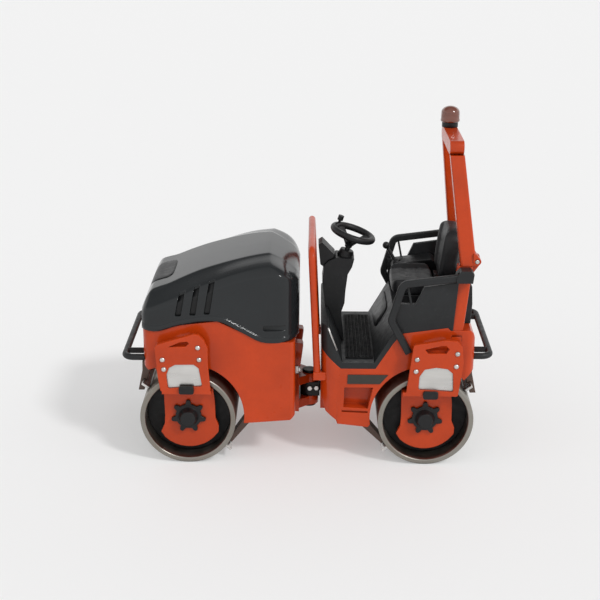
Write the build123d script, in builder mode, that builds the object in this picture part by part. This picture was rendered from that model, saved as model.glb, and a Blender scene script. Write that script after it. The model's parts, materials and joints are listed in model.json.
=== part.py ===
from build123d import *
from math import cos, sin, radians
import os

# Toy tandem road roller, 1:50, in millimetres.  Front (hood end) is -X, +Z is up, floor at z = 0.

# running gear
AXLE_X = 17.0
DRUM_R = 6.85
DRUM_HALF = 11.7
DRUM_WALL = 0.75
DISC_OUT = 8.9
DISC_T = 0.8
AXLE_R = 0.8
AXLE_HALF = 10.9
RUN_GAP = 0.05
ARCH_R = 8.0

# frame widths
CHASSIS_HALF = 10.5
PLATE_IN = 11.85
PLATE_OUT = 12.5
WEB_IN = 9.7
WEB_OUT = 10.35
HUB_OUT = 11.75
BOLT_R = 0.34
BOLT_H = 0.22

# articulation
PIN_X = 0.3
PIN_Z = 7.15
BLOCK_HALF = 1.1
PIN_R = 0.7
TRUNNION_R = 0.75
FRONT_REAR_X = -1.7
REAR_FRONT_X = 2.0

# operator station
PAN_T = 0.9
RAIL_Y = 10.9
RAIL_W = 1.05
RAIL_T = 0.8
HOOP_Y = 9.0
HOOP_R = 0.5
WHEEL_TILT = 18.0
WHEEL_X = 6.5
WHEEL_Z = 31.3
WHEEL_RING = 2.9
WHEEL_RIM = 0.5
KNOB_TURN = 50.0
SHAFT_R = 0.35

# roll-over frame
LEG_T = 1.6
LEG_FOOT_OUT = 10.6
LEG_TOP_OUT = 9.4
HOOP_TOP_OUT = 5.9
ROPS_TOP = 46.2
HINGE_X = 23.45
HINGE_Z = 30.1
SPLIT_Z = 29.4
HINGE_R = 0.28

# bumpers
BUMPER_R = 0.46
BUMPER_Y = 9.2
BUMPER_X = 26.09

os.makedirs("parts", exist_ok=True)


def save(builder, name):
    builder.part.label = name
    export_step(builder.part, f"parts/{name}.step")


def side_plane(y):
    """Sketch plane facing -Y at the given y: sketch x is +X, sketch y is +Z."""
    return Plane(origin=(0, y, 0), x_dir=(1, 0, 0), z_dir=(0, -1, 0))


def on_drum(axle, direction, radius):
    """Point at a radius from a drum axle, direction in degrees from +X."""
    a = radians(direction)
    return (axle + radius * cos(a), DRUM_R + radius * sin(a))


def rounded_plan(x0, x1, half, front_r, rear_r):
    """Tall block with rounded corners in plan: front_r at the x0 end, rear_r at the x1 end."""
    plan = Pos((x0 + x1) / 2, 0, -10) * Rectangle(x1 - x0, 2 * half)
    plan = fillet(plan.vertices().sort_by(Axis.X)[:2], radius=front_r)
    plan = fillet(plan.vertices().sort_by(Axis.X)[-2:], radius=rear_r)
    return extrude(plan, amount=60)


# ---------------------------------------------------------------- drums
for end, axle in (("front", -AXLE_X), ("rear", AXLE_X)):
    with BuildPart() as drum_shell:
        with BuildSketch(side_plane(DRUM_HALF)):
            with Locations((axle, DRUM_R)):
                Circle(DRUM_R)
                Circle(DRUM_R - DRUM_WALL, mode=Mode.SUBTRACT)
        extrude(amount=2 * DRUM_HALF)
        rims = drum_shell.edges().filter_by(GeomType.CIRCLE)
        chamfer(rims, length=0.12)
    save(drum_shell, f"{end}_drum_shell")

    with BuildPart() as drum_discs:
        for start in (DISC_OUT, -DISC_OUT + DISC_T):
            with BuildSketch(side_plane(start)):
                with Locations((axle, DRUM_R)):
                    Circle(DRUM_R - DRUM_WALL)
                    Circle(AXLE_R, mode=Mode.SUBTRACT)
            extrude(amount=DISC_T)
    save(drum_discs, f"{end}_drum_discs")

    with BuildPart() as drum_axle:
        with BuildSketch(side_plane(AXLE_HALF)):
            with Locations((axle, DRUM_R)):
                Circle(AXLE_R)
        extrude(amount=2 * AXLE_HALF)
        chamfer(drum_axle.edges().filter_by(GeomType.CIRCLE), length=0.12)
    save(drum_axle, f"{end}_drum_axle")

# ---------------------------------------------------------------- front frame
HOOD_SEAM = [
    (-23.3, 19.9),
    (-21.0, 19.9),
    (-17.9, 20.8),
    (-12.6, 21.4),
    (-6.2, 18.3),
    (FRONT_REAR_X, 18.3),
]

front_plan = rounded_plan(-23.3, FRONT_REAR_X, CHASSIS_HALF, 1.7, 0.7)
with BuildPart() as front_chassis:
    with BuildSketch(side_plane(CHASSIS_HALF)):
        Polygon(
            *HOOD_SEAM,
            (FRONT_REAR_X, 7.0),
            (-2.4, 6.3),
            (-8.9, 5.75),
            (-AXLE_X, DRUM_R),
            (-21.6, 14.3),
            (-22.6, 13.85),
            (-23.2, 14.3),
            (-23.3, 15.0),
            align=None,
        )
        with Locations((-AXLE_X, DRUM_R)):
            Circle(ARCH_R, mode=Mode.SUBTRACT)
    extrude(amount=2 * CHASSIS_HALF)
    # rounded corners in plan
    add(front_plan, mode=Mode.INTERSECT)
    # side pads that carry the drum support plates
    for y in (PLATE_IN, -CHASSIS_HALF):
        with BuildSketch(side_plane(y)):
            with Locations((-17.5, 16.6)):
                RectangleRounded(6.2, 2.9, 0.5)
        extrude(amount=PLATE_IN - CHASSIS_HALF)
    # keel block and the two arms of the centre joint
    with BuildSketch(Plane.XY.offset(4.6)):
        Polygon((-5.6, -3.0), (-1.2, -3.9), (-1.2, 3.9), (-5.6, 3.0), align=None)
    extrude(amount=6.0)
    for z, thick in ((4.6, 1.4), (8.3, 1.3)):
        with BuildSketch(Plane.XY.offset(z)):
            Polygon((-1.3, -2.8), (PIN_X, -1.4), (PIN_X, 1.4), (-1.3, 2.8), align=None)
            with Locations((PIN_X, 0)):
                Circle(1.4)
        extrude(amount=thick)
    with BuildSketch(Plane.XY.offset(4.6)):
        with Locations((PIN_X, 0)):
            Circle(PIN_R)
    extrude(amount=5.0, mode=Mode.SUBTRACT)
    # rounded ears on the rear face
    for y in (3.8, -2.2):
        with BuildSketch(side_plane(y)):
            Polygon((-1.9, 11.9), (-1.0, 11.9), (-0.6, 15.1), (-0.75, 15.5), (-1.45, 15.6), (-1.9, 15.5), align=None)
        extrude(amount=1.6)
save(front_chassis, "front_chassis")

with BuildPart() as hose_fittings:
    for y in (6.5, -6.5):
        with BuildSketch(Plane.YZ.offset(FRONT_REAR_X)):
            with Locations((y, 12.6)):
                RegularPolygon(0.62, 6)
        extrude(amount=0.45)
        with BuildSketch(Plane.YZ.offset(FRONT_REAR_X + 0.45)):
            with Locations((y, 12.6)):
                Circle(0.38)
        extrude(amount=0.3)
save(hose_fittings, "hose_fittings")

# hood cross sections: x, then half outline (y, z) of shoulder, crease and crown
HOOD_SECTIONS = [
    (-23.35, (9.4, 22.0), (9.0, 22.45), (8.0, 22.75)),
    (-22.9, (10.0, 22.6), (9.3, 23.15), (7.8, 23.8)),
    (-22.2, (10.35, 22.85), (9.5, 23.45), (7.4, 24.85)),
    (-21.2, (10.5, 23.3), (9.6, 23.85), (7.2, 25.3)),
    (-19.9, (10.5, 23.75), (9.6, 24.35), (7.0, 25.7)),
    (-17.6, (10.5, 24.6), (9.6, 25.3), (6.7, 26.7)),
    (-15.2, (10.5, 25.4), (9.6, 26.4), (6.4, 27.65)),
    (-12.8, (10.5, 26.1), (9.6, 27.35), (6.2, 28.4)),
    (-10.6, (10.5, 26.85), (9.6, 28.2), (6.0, 29.0)),
    (-8.1, (10.5, 27.6), (9.5, 28.9), (5.7, 29.55)),
    (-5.6, (10.45, 28.1), (9.3, 29.3), (5.3, 29.87)),
    (-5.0, (10.4, 28.2), (9.2, 29.3), (5.2, 29.7)),
    (-3.4, (10.2, 27.95), (8.9, 28.6), (5.0, 28.8)),
    (-2.3, (9.4, 27.3), (8.4, 27.8), (5.0, 28.0)),
    (-1.6, (8.0, 26.6), (7.2, 27.0), (4.9, 27.3)),
    (-1.2, (6.4, 25.9), (5.9, 26.3), (4.4, 26.6)),
]
# louvre slots: middle of the lower end, then of the upper end
LOUVRES = [
    ((-18.15, 22.1), (-17.5, 25.5)),
    ((-16.1, 22.25), (-15.4, 26.3)),
    ((-14.1, 22.4), (-13.3, 27.1)),
]
LOUVRE_HALF = 0.42
HOOD_FLOOR = 17.4


def louvre_outline(foot, head):
    """Slanted slot between two (x, z) mid points, as a side view polygon."""
    return [
        (foot[0] - LOUVRE_HALF, foot[1]),
        (foot[0] + LOUVRE_HALF, foot[1]),
        (head[0] + LOUVRE_HALF, head[1] + 0.15),
        (head[0] - LOUVRE_HALF, head[1] - 0.15),
    ]


def hood_body(shrink, drop):
    """Loft of the hood sections, pulled in by shrink and lowered by drop."""
    rings = []
    for x, low, mid, top in HOOD_SECTIONS:
        half = [(y - shrink, z - drop) for y, z in (low, mid, top)]
        floor = [(half[0][0], HOOD_FLOOR)]
        outline = floor + half
        ring = outline + [(-y, z) for y, z in reversed(outline)]
        rings.append(Wire.make_polygon([(x, y, z) for y, z in ring], close=True))
    return Solid.make_loft(rings, ruled=True)


outer_hood = hood_body(0, 0)
badge_slab = (outer_hood & Pos(-20.6, 0, 24) * Box(4.4, 8.0, 10)) - hood_body(0, 0.25)

with BuildPart() as hood:
    add(outer_hood)
    # lower edge follows the chassis seam
    with BuildSketch(side_plane(12)):
        Polygon(
            (-24.5, 19.9),
            *HOOD_SEAM[:-1],
            (0, 18.3),
            (0, 16),
            (-24.5, 16),
            align=None,
        )
    extrude(amount=24, mode=Mode.SUBTRACT)
    # hollow underside
    with BuildSketch(side_plane(8.6)):
        Polygon((-21, 17), (-21, 23.0), (-6, 27.0), (-3.6, 25.4), (-3.6, 17), align=None)
    extrude(amount=17.2, mode=Mode.SUBTRACT)
    # three louvre slots and a latch recess in each flank
    for y in (12, -9.3):
        with BuildSketch(side_plane(y)):
            for foot, head in LOUVRES:
                Polygon(*louvre_outline(foot, head), align=None)
            with Locations((-4.5, 20.35)):
                RectangleRounded(3.4, 0.85, 0.25)
        extrude(amount=2.7, mode=Mode.SUBTRACT)
    # pocket for the nose inlay
    add(badge_slab, mode=Mode.SUBTRACT)
save(hood, "hood")

with BuildPart() as nose_inlay:
    add(badge_slab)
save(nose_inlay, "nose_inlay")

with BuildPart() as hood_louvres:
    for y in (10.1, -9.3):
        with BuildSketch(side_plane(y)):
            for foot, head in LOUVRES:
                Polygon(*louvre_outline(foot, head), align=None)
        extrude(amount=0.8)
    add(hood_body(0.35, 0.35), mode=Mode.INTERSECT)
save(hood_louvres, "hood_louvres")

# ---------------------------------------------------------------- drum supports, one set per end
# an outer plate bolted to the frame, then a web set back inside the drum that carries the axle
FRONT_PLATE = [
    (-21.3, 18.1),
    (-20.95, 18.6),
    (-15.8, 20.2),
    (-15.1, 20.05),
    (-14.4, 19.3),
    (-13.9, 18.1),
    (-13.9, 15.5),
    (-13.6, 11.6),
    (-20.65, 11.5),
    (-21.0, 13.8),
]
REAR_PLATE = [
    (14.85, 18.8),
    (19.2, 19.6),
    (20.9, 19.45),
    (21.6, 18.7),
    (21.9, 16.2),
    (21.3, 11.1),
    (14.0, 11.35),
    (14.55, 16.1),
]
FRONT_WINDOW = [
    (-19.6, 11.95),
    (-19.8, 14.0),
    (-19.4, 15.1),
    (-18.5, 15.6),
    (-15.9, 15.65),
    (-15.2, 15.1),
    (-14.75, 12.3),
]
REAR_WINDOW = [
    (15.7, 12.1),
    (15.8, 14.1),
    (16.5, 15.2),
    (18.1, 15.5),
    (19.7, 15.3),
    (20.5, 14.6),
    (20.65, 11.8),
]
FRONT_BOLTS = [(-20.25, 16.35), (-20.1, 14.9), (-15.25, 18.2), (-15.1, 16.4)]
REAR_BOLTS = [(15.4, 16.7), (15.3, 14.9), (21.0, 17.6), (20.9, 15.7)]
FRONT_SLOT = [(-19.4, 18.25), (-17.8, 19.0), (-16.7, 19.1), (-16.45, 18.8), (-16.95, 18.35)]
REAR_SLOT = [(16.45, 18.2), (18.7, 18.8), (19.4, 18.8), (19.85, 18.3), (19.4, 17.6), (16.9, 17.6)]
# web outline relative to the axle; its low edge is an arc of WEB_ARC_R
WEB_LEFT = [(-4.05, -2.6), (-3.5, -1.4), (-3.4, 0.0), (-3.45, 2.8), (-3.5, 4.8)]
WEB_RIGHT = [(3.5, 4.8), (3.8, 2.2), (3.85, -0.5), (4.3, -1.6), (4.25, -2.55)]
WEB_ARC_R = 4.95
SUPPORTS = [
    ("front", -AXLE_X, FRONT_PLATE, FRONT_WINDOW, FRONT_BOLTS, FRONT_SLOT, (-17.0, 11.8)),
    ("rear", AXLE_X, REAR_PLATE, REAR_WINDOW, REAR_BOLTS, REAR_SLOT, (17.45, 11.35)),
]
PLATE_T = PLATE_OUT - PLATE_IN
WEB_T = WEB_OUT - WEB_IN
LEDGE_T = 0.55
STAR_TOOTH = [(-0.5, -0.5), (0.35, -0.3), (0.55, -0.16), (0.55, 0.16), (0.35, 0.3), (-0.5, 0.5)]

for end, axle, outline, window, bolts, slot, hose_at in SUPPORTS:
    web_outline = []
    for x, z in WEB_LEFT + WEB_RIGHT:
        web_outline.append((axle + x, DRUM_R + z))
    for heading in range(-35, -145, -10):
        web_outline.append(on_drum(axle, heading, WEB_ARC_R))

    with BuildPart() as support_plates:
        for y in (PLATE_OUT, -PLATE_IN):
            with BuildSketch(side_plane(y)) as plate_face:
                Polygon(*outline, align=None)
                fillet(plate_face.vertices(), radius=0.3)
            extrude(amount=PLATE_T)
            with BuildSketch(side_plane(y)) as window_face:
                Polygon(*window, align=None)
                fillet(window_face.vertices(), radius=0.28)
                Polygon(*slot, align=None)
            extrude(amount=PLATE_T, mode=Mode.SUBTRACT)
        for y in (WEB_OUT, -WEB_IN):
            with BuildSketch(side_plane(y)):
                Polygon(*web_outline, align=None)
                with Locations((axle, DRUM_R)):
                    Circle(AXLE_R + RUN_GAP, mode=Mode.SUBTRACT)
            extrude(amount=WEB_T)
        # ledge that joins the web to the outer plate
        for y in (PLATE_OUT, -WEB_IN):
            with BuildSketch(side_plane(y)):
                Polygon(
                    (axle - 3.5, DRUM_R + 4.25),
                    (axle + 3.5, DRUM_R + 4.25),
                    (axle + 3.45, DRUM_R + 4.25 + LEDGE_T),
                    (axle - 3.45, DRUM_R + 4.25 + LEDGE_T),
                    align=None,
                )
            extrude(amount=PLATE_OUT - WEB_IN)
    save(support_plates, f"{end}_support_plates")

    with BuildPart() as buffer_plates:
        for y in (PLATE_IN + 0.4, -PLATE_IN):
            with BuildSketch(side_plane(y)):
                Polygon(*window, align=None)
            extrude(amount=0.4)
        add(support_plates.part, mode=Mode.SUBTRACT)
    save(buffer_plates, f"{end}_buffer_plates")

    with BuildPart() as hub_stars:
        for y in (WEB_OUT + 0.4, -WEB_OUT):
            with BuildSketch(side_plane(y)):
                with Locations((axle, DRUM_R)):
                    Circle(1.85)
                    with PolarLocations(1.95, 7, start_angle=90):
                        Polygon(*STAR_TOOTH, align=None)
            extrude(amount=0.4)
        for face, flip in ((-WEB_OUT - 0.4, 1), (WEB_OUT + 0.4, -1)):
            with BuildSketch(side_plane(face)):
                with Locations((axle, DRUM_R)):
                    Circle(1.45)
            with BuildSketch(side_plane(flip * -HUB_OUT)):
                with Locations((axle, DRUM_R)):
                    Circle(1.05)
            loft()
        with BuildSketch(side_plane(AXLE_HALF + 0.1)):
            with Locations((axle, DRUM_R)):
                Circle(AXLE_R + RUN_GAP)
        extrude(amount=2 * AXLE_HALF + 0.2, mode=Mode.SUBTRACT)
    save(hub_stars, f"{end}_hub_stars")

    with BuildPart() as hose_blocks:
        for y in (PLATE_OUT + 0.35, -PLATE_OUT):
            with BuildSketch(side_plane(y)):
                with Locations(hose_at):
                    RectangleRounded(2.1, 1.15, 0.3)
            extrude(amount=0.35)
    save(hose_blocks, f"{end}_hose_blocks")

    with BuildPart() as plate_bolts:
        for y in (PLATE_OUT + BOLT_H, -PLATE_OUT):
            with BuildSketch(side_plane(y)):
                with Locations(*bolts):
                    Circle(BOLT_R)
            extrude(amount=BOLT_H)
    save(plate_bolts, f"{end}_plate_bolts")

# ---------------------------------------------------------------- centre joint
with BuildPart() as king_pin:
    with BuildSketch(Plane.XY.offset(4.2)):
        with Locations((PIN_X, 0)):
            Circle(PIN_R)
    extrude(amount=5.75)
    for z, thick in ((4.2, 0.4), (9.6, 0.35)):
        with BuildSketch(Plane.XY.offset(z)):
            with Locations((PIN_X, 0)):
                Circle(1.05)
        extrude(amount=thick)
    chamfer(king_pin.edges().filter_by(GeomType.CIRCLE).group_by(Axis.Z)[-1], length=0.12)
save(king_pin, "king_pin")

with BuildPart() as pivot_block:
    with BuildSketch(Plane.XY.offset(PIN_Z - BLOCK_HALF)):
        with Locations((PIN_X, 0)):
            Circle(1.35)
        with Locations(((PIN_X + 1.9) / 2, 0)):
            Rectangle(1.9 - PIN_X, 2.7)
    extrude(amount=2 * BLOCK_HALF)
    with BuildSketch(Plane.XY.offset(PIN_Z - BLOCK_HALF)):
        with Locations((PIN_X, 0)):
            Circle(PIN_R + RUN_GAP)
    extrude(amount=2 * BLOCK_HALF, mode=Mode.SUBTRACT)
    with BuildSketch(Plane.YZ.offset(1.9)):
        with Locations((0, PIN_Z)):
            Circle(TRUNNION_R)
    extrude(amount=4.2)
save(pivot_block, "pivot_block")

with BuildPart() as joint_bolts:
    for y in (1.35 + 0.3, -1.35):
        with BuildSketch(side_plane(y)):
            with Locations((0.4, PIN_Z + 0.2), (1.4, PIN_Z + 0.25)):
                RegularPolygon(0.4, 6)
        extrude(amount=0.3)
save(joint_bolts, "joint_bolts")

# ---------------------------------------------------------------- rear frame
DECK = [
    (REAR_FRONT_X, 16.9),
    (4.8, 14.4),
    (9.7, 14.4),
    (12.2, 18.4),
    (13.4, 19.8),
]
DECK_CORNER_R = 2.6


def leg_solid(flip):
    """Leaning lower leg of the roll-over frame; flip is the sign of its y."""
    foot = Plane(origin=(20.85, flip * (LEG_FOOT_OUT - LEG_T / 2), 18.5))
    head = Plane(origin=(21.85, flip * (LEG_TOP_OUT - LEG_T / 2), SPLIT_Z))
    foot_face = foot * RectangleRounded(1.7, LEG_T, 0.25)
    head_face = head * RectangleRounded(2.1, LEG_T, 0.25)
    return loft([foot_face, head_face])


rear_plan = rounded_plan(REAR_FRONT_X, 23.7, CHASSIS_HALF, DECK_CORNER_R, 1.2)
legs = [leg_solid(1), leg_solid(-1)]
with BuildPart() as rear_chassis:
    with BuildSketch(side_plane(CHASSIS_HALF)):
        Polygon(
            *DECK,
            (19.7, 20.7),
            (20.1, 20.3),
            (23.0, 20.3),
            (23.45, 19.7),
            (23.7, 18.9),
            (23.7, 14.3),
            (AXLE_X, DRUM_R),
            (9.7, 6.4),
            (8.8, 5.3),
            (4.4, 5.8),
            (4.2, 6.4),
            (2.7, 7.5),
            (2.3, 8.5),
            (REAR_FRONT_X, 9.6),
            align=None,
        )
        with Locations((AXLE_X, DRUM_R)):
            Circle(ARCH_R - 0.05, mode=Mode.SUBTRACT)
    extrude(amount=2 * CHASSIS_HALF)
    add(rear_plan, mode=Mode.INTERSECT)
    for y in (PLATE_IN, -CHASSIS_HALF):
        with BuildSketch(side_plane(y)):
            with Locations((18.1, 16.4)):
                RectangleRounded(6.0, 2.9, 0.5)
        extrude(amount=PLATE_IN - CHASSIS_HALF)
    # keel block behind the centre joint
    with BuildSketch(Plane.XY.offset(4.8)):
        with Locations(((REAR_FRONT_X + 7.0) / 2, 0)):
            Rectangle(7.0 - REAR_FRONT_X, 6.0)
    extrude(amount=6.0)
    # foot step pressed into each flank
    for y in (CHASSIS_HALF, -CHASSIS_HALF + 1.6):
        with BuildSketch(side_plane(y)):
            Polygon((5.35, 11.5), (9.45, 11.5), (8.75, 8.2), (5.25, 8.4), align=None)
        extrude(amount=1.6, mode=Mode.SUBTRACT)
    for y in (CHASSIS_HALF, -CHASSIS_HALF + 0.3):
        with BuildSketch(side_plane(y)):
            Polygon((5.0, 7.95), (8.75, 7.8), (8.75, 7.5), (5.0, 7.65), align=None)
        extrude(amount=0.3, mode=Mode.SUBTRACT)
    # seat of the trunnion
    with BuildSketch(Plane.YZ.offset(REAR_FRONT_X)):
        with Locations((0, PIN_Z)):
            Circle(TRUNNION_R + RUN_GAP)
    extrude(amount=4.3, mode=Mode.SUBTRACT)
    # notches for the legs
    add(legs, mode=Mode.SUBTRACT)
save(rear_chassis, "rear_chassis")

# ---------------------------------------------------------------- bumpers
for end, flip, face, height, chassis in (
    ("front", -1, 22.6, 15.4, front_chassis),
    ("rear", 1, 23.2, 16.0, rear_chassis),
):
    with BuildPart() as bumper:
        with BuildLine() as loop:
            FilletPolyline(
                (flip * face, -BUMPER_Y, height),
                (flip * BUMPER_X, -BUMPER_Y, height),
                (flip * BUMPER_X, BUMPER_Y, height),
                (flip * face, BUMPER_Y, height),
                radius=1.3,
            )
        with BuildSketch(Plane(origin=loop.line @ 0, z_dir=loop.line % 0)):
            Circle(BUMPER_R)
        sweep()
        # short struts from the crossbar back to the frame
        with BuildSketch(Plane.YZ.offset(flip * face)):
            with Locations((-6.7, height), (6.7, height)):
                Circle(0.42)
        extrude(amount=flip * (BUMPER_X - face))
        add(chassis.part, mode=Mode.SUBTRACT)
    save(bumper, f"{end}_bumper")

# ---------------------------------------------------------------- scrapers
# direction from each axle to its low inner and high outer scraper, in degrees from +X
for end, axle, low, high, flip, belly, chassis in (
    ("front", -AXLE_X, -42.6, 143.8, -1, 6.3, front_chassis),
    ("rear", AXLE_X, 222.6, 36.2, 1, 5.5, rear_chassis),
):
    with BuildPart() as scraper_blades:
        for heading in (low, high):
            with BuildSketch(side_plane(CHASSIS_HALF - 0.3)):
                with Locations(Location(on_drum(axle, heading, DRUM_R + 0.72) + (0,), (0, 0, heading))):
                    Rectangle(1.2, 0.36)
            extrude(amount=2 * CHASSIS_HALF - 0.6)
    save(scraper_blades, f"{end}_scraper_blades")

    with BuildPart() as scraper_arms:
        for y in (8.6, -6.8):
            with BuildSketch(side_plane(y)):
                Polygon(
                    (flip * 8.0, belly),
                    (flip * 8.7, belly),
                    (flip * 11.45, 2.15),
                    (flip * 11.0, 1.75),
                    (flip * 8.0, belly - 0.9),
                    align=None,
                )
                Polygon(
                    (flip * 22.6, 14.5),
                    (flip * 23.65, 14.5),
                    (flip * 23.7, 13.0),
                    (flip * 24.35, 10.0),
                    (flip * 23.5, 10.0),
                    (flip * 22.6, 13.0),
                    align=None,
                )
            extrude(amount=1.8)
        add(scraper_blades.part, mode=Mode.SUBTRACT)
        add(chassis.part, mode=Mode.SUBTRACT)
    save(scraper_arms, f"{end}_scraper_arms")

with BuildPart() as side_badges:
    for y in (CHASSIS_HALF + 0.12, -CHASSIS_HALF):
        with BuildSketch(side_plane(y)):
            Polygon((5.8, 13.5), (11.55, 13.5), (10.4, 12.1), (5.75, 12.1), align=None)
        extrude(amount=0.12)
save(side_badges, "side_badges")

with BuildPart() as platform:
    with BuildSketch(side_plane(CHASSIS_HALF)):
        Polygon(
            *DECK,
            (13.4, 20.6),
            (12.5, 20.6),
            (11.0, 17.9),
            (9.5, 14.4 + PAN_T),
            (5.0, 14.4 + PAN_T),
            (2.95, 20.6),
            (REAR_FRONT_X, 20.6),
            align=None,
        )
    extrude(amount=2 * CHASSIS_HALF)
    add(rear_plan, mode=Mode.INTERSECT)
save(platform, "platform")

MAT_Z = 14.4 + PAN_T
with BuildPart() as floor_mat:
    with BuildSketch(Plane.XY.offset(MAT_Z)):
        with Locations((7.45, 0)):
            RectangleRounded(3.9, 17.6, 0.3)
    extrude(amount=0.15)
    with BuildSketch(Plane.XY.offset(MAT_Z + 0.15)):
        with Locations((7.45, 0)):
            with GridLocations(0.52, 0.52, 7, 33):
                Rectangle(0.26, 0.26, rotation=45)
    extrude(amount=0.12)
save(floor_mat, "floor_mat")

with BuildPart() as guard_rail:
    with BuildLine() as hoop:
        FilletPolyline(
            (1.48, -HOOP_Y, 12.4),
            (0.55, -HOOP_Y, 31.2),
            (0.55, HOOP_Y, 31.2),
            (1.48, HOOP_Y, 12.4),
            radius=1.6,
        )
    with BuildSketch(Plane(origin=hoop.line @ 0, z_dir=hoop.line % 0)):
        Circle(HOOP_R)
    sweep()
    with BuildSketch(Plane.XY.offset(12.2)):
        with Locations((2.0, -HOOP_Y), (2.0, HOOP_Y)):
            Rectangle(2.2, 1.3)
    extrude(amount=1.2)
    add(rear_chassis.part, mode=Mode.SUBTRACT)
    add(platform.part, mode=Mode.SUBTRACT)
save(guard_rail, "guard_rail")

# ---------------------------------------------------------------- steering stand
wheel_axis = Vector(sin(radians(WHEEL_TILT)), 0, cos(radians(WHEEL_TILT)))
wheel_hub = Vector(WHEEL_X, 0, WHEEL_Z)


def wheel_plane(along):
    """Plane square to the steering axis, at a distance along it from the wheel centre."""
    return Plane(origin=wheel_hub + wheel_axis * along, x_dir=(0, 1, 0), z_dir=wheel_axis)


with BuildPart() as steering_column:
    with BuildSketch(side_plane(1.9)):
        Polygon(
            (5.0, MAT_Z),
            (5.4, MAT_Z),
            (4.95, 19.1),
            (4.95, 19.8),
            (5.4, 21.2),
            (5.5, 23.0),
            (5.8, 25.6),
            (6.4, 26.7),
            (6.7, 27.9),
            (4.1, 28.1),
            (3.0, 27.6),
            (2.4, 27.0),
            (2.1, 24.5),
            (2.6, 20.6),
            (2.95, 20.6),
            align=None,
        )
    extrude(amount=3.8)
    with BuildSketch(wheel_plane(-3.6)):
        Circle(1.2)
    with BuildSketch(wheel_plane(-2.6)):
        Circle(0.95)
    loft()
    with BuildSketch(wheel_plane(-3.6)):
        Circle(SHAFT_R + RUN_GAP)
    extrude(amount=1.1, mode=Mode.SUBTRACT)
save(steering_column, "steering_column")

screen_face = Plane(origin=(2.97, 0, 29.35), x_dir=(0, 1, 0), z_dir=(0.716, 0, 0.698))
with BuildPart() as display_housing:
    with BuildSketch(side_plane(1.5)):
        Polygon((1.5, 29.95), (2.05, 30.3), (3.9, 28.4), (3.6, 27.8), (2.3, 26.6), (1.8, 27.0), align=None)
    extrude(amount=3.0)
    with BuildSketch(screen_face):
        Rectangle(2.4, 2.0)
    extrude(amount=-0.2, mode=Mode.SUBTRACT)
    add(steering_column.part, mode=Mode.SUBTRACT)
save(display_housing, "display_housing")

with BuildPart() as display_screen:
    with BuildSketch(screen_face.offset(-0.2)):
        Rectangle(2.4, 2.0)
    extrude(amount=0.1)
save(display_screen, "display_screen")


def wheel_section(turn):
    """Plane through the steering axis: sketch x runs along the axis, sketch y outwards."""
    across = Vector(0, cos(radians(turn)), 0) + wheel_axis.cross(Vector(0, 1, 0)) * sin(radians(turn))
    return Plane(origin=wheel_hub, x_dir=wheel_axis, z_dir=across)


with BuildPart() as steering_wheel:
    with BuildSketch(wheel_section(0)):
        with Locations((0, WHEEL_RING)):
            Circle(WHEEL_RIM)
        Polygon((-2.2, 0), (-2.2, 0.5), (-1.9, 0.55), (-1.2, 1.05), (-0.9, 1.05), (-0.75, 0), align=None)
    revolve(axis=Axis(wheel_hub, wheel_axis))
    for turn in (0, 120, 240):
        with BuildSketch(wheel_section(turn)):
            Polygon((-1.6, 0.6), (-0.25, 2.9), (0.15, 2.7), (-1.0, 0.6), align=None)
        revolve(axis=Axis(wheel_hub, wheel_axis), revolution_arc=36)
save(steering_wheel, "steering_wheel")

with BuildPart() as steering_shaft:
    with BuildSketch(wheel_plane(-3.5)):
        Circle(SHAFT_R)
    extrude(amount=1.3)
save(steering_shaft, "steering_shaft")

with BuildPart() as spinner_knob:
    with BuildSketch(wheel_plane(WHEEL_RIM - 0.1)):
        with PolarLocations(WHEEL_RING, 1, start_angle=KNOB_TURN):
            Circle(0.2)
    extrude(amount=0.5)
    with BuildSketch(wheel_plane(WHEEL_RIM + 0.3)):
        with PolarLocations(WHEEL_RING, 1, start_angle=KNOB_TURN):
            Circle(0.42)
    extrude(amount=0.7)
save(spinner_knob, "spinner_knob")

# ---------------------------------------------------------------- seat and side panels
with BuildPart() as seat_cushion:
    with BuildSketch(Plane.XY.offset(23.4)):
        with Locations((15.2, 0)):
            RectangleRounded(6.4, 9.4, 1.3)
    extrude(amount=1.9)
    fillet(seat_cushion.faces().sort_by(Axis.Z)[-1].edges(), radius=0.7)
save(seat_cushion, "seat_cushion")

BACK_LEAN = 7.0
with BuildPart() as seat_backrest:
    back_plane = Plane(
        origin=(18.6, 0, 24.6),
        x_dir=(0, 1, 0),
        z_dir=(-cos(radians(BACK_LEAN)), 0, sin(radians(BACK_LEAN))),
    )
    with BuildSketch(back_plane):
        with Locations((0, -4.2)):
            RectangleRounded(8.8, 8.4, 2.2)
    extrude(amount=-2.3)
save(seat_backrest, "seat_backrest")

with BuildPart() as seat_base:
    with BuildSketch(side_plane(9.9)):
        Polygon((13.4, 19.7), (13.4, 21.9), (14.0, 22.3), (20.0, 22.3), (20.0, 19.7), align=None)
    extrude(amount=19.8)
    with BuildSketch(side_plane(7.6)):
        Polygon((19.9, 19.7), (19.9, 22.3), (21.4, 22.3), (21.4, 19.7), align=None)
    extrude(amount=15.2)
    with BuildSketch(Plane.XY.offset(22.3)):
        with Locations((16.2, 0)):
            Rectangle(5.6, 9.0)
    extrude(amount=1.1)
    # rear bracket that carries the backrest
    with BuildSketch(Plane.XY.offset(22.3)):
        with Locations((19.3, 0)):
            Rectangle(1.4, 6.0)
    extrude(amount=2.6)
    for fixed in (seat_cushion.part, seat_backrest.part, rear_chassis.part, platform.part):
        add(fixed, mode=Mode.SUBTRACT)
save(seat_base, "seat_base")

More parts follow.
